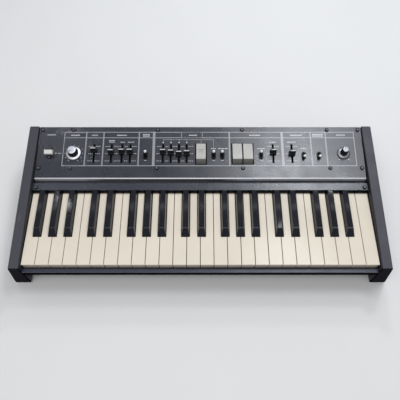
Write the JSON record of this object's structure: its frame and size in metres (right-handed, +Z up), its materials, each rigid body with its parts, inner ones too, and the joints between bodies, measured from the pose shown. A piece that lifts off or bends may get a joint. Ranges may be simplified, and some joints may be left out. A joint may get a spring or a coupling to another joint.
{
  "type": "analog synthesizer",
  "caption": "Free-standing keyboard synthesizer with hinged piano keys, sloping control panel with slide controls, toggles, rocker tablets and knobs, between two end cheeks.",
  "frame": {"origin": "on the surface under the feet, midway between the two cheeks and midway from front to back", "axes": "+X along the keyboard towards the high notes, +Y from the player to the rear, +Z up"},
  "size_m": [0.6724, 0.28, 0.1086],
  "materials": {
    "key_ivory": "satin gloss",
    "key_black": "gloss",
    "panel_charcoal": "satin",
    "cheek_charcoal": "fine texture",
    "satin_black": "satin",
    "control_black": "satin",
    "control_cream": "satin",
    "bright_metal": "polished",
    "plain_steel": "plain",
    "red_felt": "felt",
    "circuit_board": "resin board",
    "black_rubber": "matte"
  },
  "bodies": {
    "case": {"bottom_chassis": "satin_black", "contact_board": "circuit_board", "down_stop_felt": "red_felt", "foot_front_left": "black_rubber", "foot_front_right": "black_rubber", "foot_rear_left": "black_rubber", "foot_rear_right": "black_rubber", "front_rail": "panel_charcoal", "generator_board": "circuit_board", "jack_board": "circuit_board", "key_frame": "plain_steel", "key_springs": "plain_steel", "key_strip": "panel_charcoal", "left_cheek": "cheek_charcoal", "mains_inlet": "control_black", "panel_board": "circuit_board", "power_switch_body": "control_black", "power_transformer": "plain_steel", "rest_felt": "red_felt", "right_cheek": "cheek_charcoal", "top_panel": "panel_charcoal"},
    "key_c": {"key_c": "key_ivory"},
    "key_d": {"key_d": "key_ivory"},
    "key_e": {"key_e": "key_ivory"},
    "key_f": {"key_f": "key_ivory"},
    "key_g": {"key_g": "key_ivory"},
    "key_a": {"key_a": "key_ivory"},
    "key_b": {"key_b": "key_ivory"},
    "key_c_sharp": {"key_c_sharp": "key_black"},
    "key_d_sharp": {"key_d_sharp": "key_black"},
    "key_f_sharp": {"key_f_sharp": "key_black"},
    "key_g_sharp": {"key_g_sharp": "key_black"},
    "key_a_sharp": {"key_a_sharp": "key_black"},
    "left_white_keys": {"left_white_keys": "key_ivory"},
    "right_white_keys": {"right_white_keys": "key_ivory"},
    "left_black_keys": {"left_black_keys": "key_black"},
    "right_black_keys": {"right_black_keys": "key_black"},
    "tone_slider": {"tone_slider": "control_black"},
    "vibrato_delay_slider": {"vibrato_delay_slider": "control_black"},
    "vibrato_rate_slider": {"vibrato_rate_slider": "control_black"},
    "vibrato_depth_slider": {"vibrato_depth_slider": "control_black"},
    "organ_slider_1": {"organ_slider_1": "control_black"},
    "organ_slider_2": {"organ_slider_2": "control_black"},
    "organ_slider_3": {"organ_slider_3": "control_black"},
    "organ_slider_4": {"organ_slider_4": "control_black"},
    "strings_slider": {"strings_slider": "control_black"},
    "ensemble_slider": {"ensemble_slider": "control_black"},
    "octave_toggle": {"octave_toggle": "bright_metal"},
    "attack_toggle": {"attack_toggle": "bright_metal"},
    "sustain_toggle": {"sustain_toggle": "bright_metal"},
    "strings_toggle": {"strings_toggle": "bright_metal"},
    "ensemble_toggle": {"ensemble_toggle": "bright_metal"},
    "transpose_toggle": {"transpose_toggle": "bright_metal"},
    "organ_tablet": {"organ_tablet": "control_cream"},
    "strings_tablet_low": {"strings_tablet_low": "control_cream"},
    "strings_tablet_high": {"strings_tablet_high": "control_cream"},
    "volume_knob": {"volume_knob": "control_black"},
    "tune_knob": {"tune_knob": "control_black"},
    "power_rocker": {"power_rocker": "control_cream"}
  },
  "joints": [
    {"name": "key_c_pivot", "type": "hinge", "parent": "case", "child": "key_c", "pos_m": [0, 0.07448, 0.064], "axis": [1, 0, 0], "range_deg": [0, 3], "stiffness_Nm_per_rad": 1, "springref_deg": -8.59, "deforming": ["key_springs"]},
    {"name": "key_d_pivot", "type": "hinge", "parent": "case", "child": "key_d", "pos_m": [0, 0.07448, 0.064], "axis": [1, 0, 0], "range_deg": [0, 3], "stiffness_Nm_per_rad": 1, "springref_deg": -8.59, "deforming": ["key_springs"]},
    {"name": "key_e_pivot", "type": "hinge", "parent": "case", "child": "key_e", "pos_m": [0, 0.07448, 0.064], "axis": [1, 0, 0], "range_deg": [0, 3], "stiffness_Nm_per_rad": 1, "springref_deg": -8.59, "deforming": ["key_springs"]},
    {"name": "key_f_pivot", "type": "hinge", "parent": "case", "child": "key_f", "pos_m": [0, 0.07448, 0.064], "axis": [1, 0, 0], "range_deg": [0, 3], "stiffness_Nm_per_rad": 1, "springref_deg": -8.59, "deforming": ["key_springs"]},
    {"name": "key_g_pivot", "type": "hinge", "parent": "case", "child": "key_g", "pos_m": [0, 0.07448, 0.064], "axis": [1, 0, 0], "range_deg": [0, 3], "stiffness_Nm_per_rad": 1, "springref_deg": -8.59, "deforming": ["key_springs"]},
    {"name": "key_a_pivot", "type": "hinge", "parent": "case", "child": "key_a", "pos_m": [0, 0.07448, 0.064], "axis": [1, 0, 0], "range_deg": [0, 3], "stiffness_Nm_per_rad": 1, "springref_deg": -8.59, "deforming": ["key_springs"]},
    {"name": "key_b_pivot", "type": "hinge", "parent": "case", "child": "key_b", "pos_m": [0, 0.07448, 0.064], "axis": [1, 0, 0], "range_deg": [0, 3], "stiffness_Nm_per_rad": 1, "springref_deg": -8.59, "deforming": ["key_springs"]},
    {"name": "key_c_sharp_pivot", "type": "hinge", "parent": "case", "child": "key_c_sharp", "pos_m": [0, 0.07448, 0.064], "axis": [1, 0, 0], "range_deg": [0, 3], "stiffness_Nm_per_rad": 1, "springref_deg": -8.59, "deforming": ["key_springs"]},
    {"name": "key_d_sharp_pivot", "type": "hinge", "parent": "case", "child": "key_d_sharp", "pos_m": [0, 0.07448, 0.064], "axis": [1, 0, 0], "range_deg": [0, 3], "stiffness_Nm_per_rad": 1, "springref_deg": -8.59, "deforming": ["key_springs"]},
    {"name": "key_f_sharp_pivot", "type": "hinge", "parent": "case", "child": "key_f_sharp", "pos_m": [0, 0.07448, 0.064], "axis": [1, 0, 0], "range_deg": [0, 3], "stiffness_Nm_per_rad": 1, "springref_deg": -8.59, "deforming": ["key_springs"]},
    {"name": "key_g_sharp_pivot", "type": "hinge", "parent": "case", "child": "key_g_sharp", "pos_m": [0, 0.07448, 0.064], "axis": [1, 0, 0], "range_deg": [0, 3], "stiffness_Nm_per_rad": 1, "springref_deg": -8.59, "deforming": ["key_springs"]},
    {"name": "key_a_sharp_pivot", "type": "hinge", "parent": "case", "child": "key_a_sharp", "pos_m": [0, 0.07448, 0.064], "axis": [1, 0, 0], "range_deg": [0, 3], "stiffness_Nm_per_rad": 1, "springref_deg": -8.59, "deforming": ["key_springs"]},
    {"name": "left_white_keys_pivot", "type": "hinge", "parent": "case", "child": "left_white_keys", "pos_m": [0, 0.07448, 0.064], "axis": [1, 0, 0], "range_deg": [0, 3], "stiffness_Nm_per_rad": 11, "springref_deg": -8.59, "deforming": ["key_springs"]},
    {"name": "right_white_keys_pivot", "type": "hinge", "parent": "case", "child": "right_white_keys", "pos_m": [0, 0.07448, 0.064], "axis": [1, 0, 0], "range_deg": [0, 3], "stiffness_Nm_per_rad": 8, "springref_deg": -8.59, "deforming": ["key_springs"]},
    {"name": "left_black_keys_pivot", "type": "hinge", "parent": "case", "child": "left_black_keys", "pos_m": [0, 0.07448, 0.064], "axis": [1, 0, 0], "range_deg": [0, 3], "stiffness_Nm_per_rad": 8, "springref_deg": -8.59, "deforming": ["key_springs"]},
    {"name": "right_black_keys_pivot", "type": "hinge", "parent": "case", "child": "right_black_keys", "pos_m": [0, 0.07448, 0.064], "axis": [1, 0, 0], "range_deg": [0, 3], "stiffness_Nm_per_rad": 5, "springref_deg": -8.59, "deforming": ["key_springs"]},
    {"name": "tone_slider_slide", "type": "slide", "parent": "case", "child": "tone_slider", "axis": [0, 0.9905, 0.1374], "range_m": [-0.0202, 0.0098]},
    {"name": "vibrato_delay_slider_slide", "type": "slide", "parent": "case", "child": "vibrato_delay_slider", "axis": [0, 0.9905, 0.1374], "range_m": [-0.0166, 0.0134]},
    {"name": "vibrato_rate_slider_slide", "type": "slide", "parent": "case", "child": "vibrato_rate_slider", "axis": [0, 0.9905, 0.1374], "range_m": [-0.0176, 0.0124]},
    {"name": "vibrato_depth_slider_slide", "type": "slide", "parent": "case", "child": "vibrato_depth_slider", "axis": [0, 0.9905, 0.1374], "range_m": [-0.0175, 0.0125]},
    {"name": "organ_slider_1_slide", "type": "slide", "parent": "case", "child": "organ_slider_1", "axis": [0, 0.9905, 0.1374], "range_m": [-0.017, 0.013]},
    {"name": "organ_slider_2_slide", "type": "slide", "parent": "case", "child": "organ_slider_2", "axis": [0, 0.9905, 0.1374], "range_m": [-0.0158, 0.0142]},
    {"name": "organ_slider_3_slide", "type": "slide", "parent": "case", "child": "organ_slider_3", "axis": [0, 0.9905, 0.1374], "range_m": [-0.0132, 0.0168]},
    {"name": "organ_slider_4_slide", "type": "slide", "parent": "case", "child": "organ_slider_4", "axis": [0, 0.9905, 0.1374], "range_m": [-0.0146, 0.0154]},
    {"name": "strings_slider_slide", "type": "slide", "parent": "case", "child": "strings_slider", "axis": [0, 0.9905, 0.1374], "range_m": [-0.0169, 0.0131]},
    {"name": "ensemble_slider_slide", "type": "slide", "parent": "case", "child": "ensemble_slider", "axis": [0, 0.9905, 0.1374], "range_m": [-0.0146, 0.0154]},
    {"name": "octave_toggle_pivot", "type": "hinge", "parent": "case", "child": "octave_toggle", "pos_m": [-0.1026, 0.07939, 0.08749], "axis": [1, 0, 0], "range_deg": [0, 48]},
    {"name": "attack_toggle_pivot", "type": "hinge", "parent": "case", "child": "attack_toggle", "pos_m": [0.0252, 0.07939, 0.08749], "axis": [1, 0, 0], "range_deg": [0, 48]},
    {"name": "sustain_toggle_pivot", "type": "hinge", "parent": "case", "child": "sustain_toggle", "pos_m": [0.0413, 0.07939, 0.08749], "axis": [1, 0, 0], "range_deg": [0, 48]},
    {"name": "strings_toggle_pivot", "type": "hinge", "parent": "case", "child": "strings_toggle", "pos_m": [0.114, 0.07939, 0.08749], "axis": [1, 0, 0], "range_deg": [0, 48]},
    {"name": "ensemble_toggle_pivot", "type": "hinge", "parent": "case", "child": "ensemble_toggle", "pos_m": [0.194, 0.07939, 0.08749], "axis": [1, 0, 0], "range_deg": [-48, 0]},
    {"name": "transpose_toggle_pivot", "type": "hinge", "parent": "case", "child": "transpose_toggle", "pos_m": [0.2225, 0.07939, 0.08749], "axis": [1, 0, 0], "range_deg": [-48, 0]},
    {"name": "organ_tablet_pivot", "type": "hinge", "parent": "case", "child": "organ_tablet", "pos_m": [0.0014, 0.08539, 0.08428], "axis": [1, 0, 0], "range_deg": [0, 6]},
    {"name": "strings_tablet_low_pivot", "type": "hinge", "parent": "case", "child": "strings_tablet_low", "pos_m": [0.0693, 0.08539, 0.08428], "axis": [1, 0, 0], "range_deg": [0, 6]},
    {"name": "strings_tablet_high_pivot", "type": "hinge", "parent": "case", "child": "strings_tablet_high", "pos_m": [0.0894, 0.08539, 0.08428], "axis": [1, 0, 0], "range_deg": [0, 6]},
    {"name": "volume_knob_turn", "type": "hinge", "parent": "case", "child": "volume_knob", "pos_m": [-0.2378, 0.08371, 0.0891], "axis": [0, -0.1374, 0.9905], "range_deg": [-300, 0]},
    {"name": "tune_knob_turn", "type": "hinge", "parent": "case", "child": "tune_knob", "pos_m": [0.2685, 0.08371, 0.0891], "axis": [0, -0.1374, 0.9905], "range_deg": [-150, 150]},
    {"name": "power_rocker_pivot", "type": "hinge", "parent": "case", "child": "power_rocker", "pos_m": [-0.2826, 0.08592, 0.08335], "axis": [1, 0, 0], "range_deg": [-20, 0]}
  ]
}
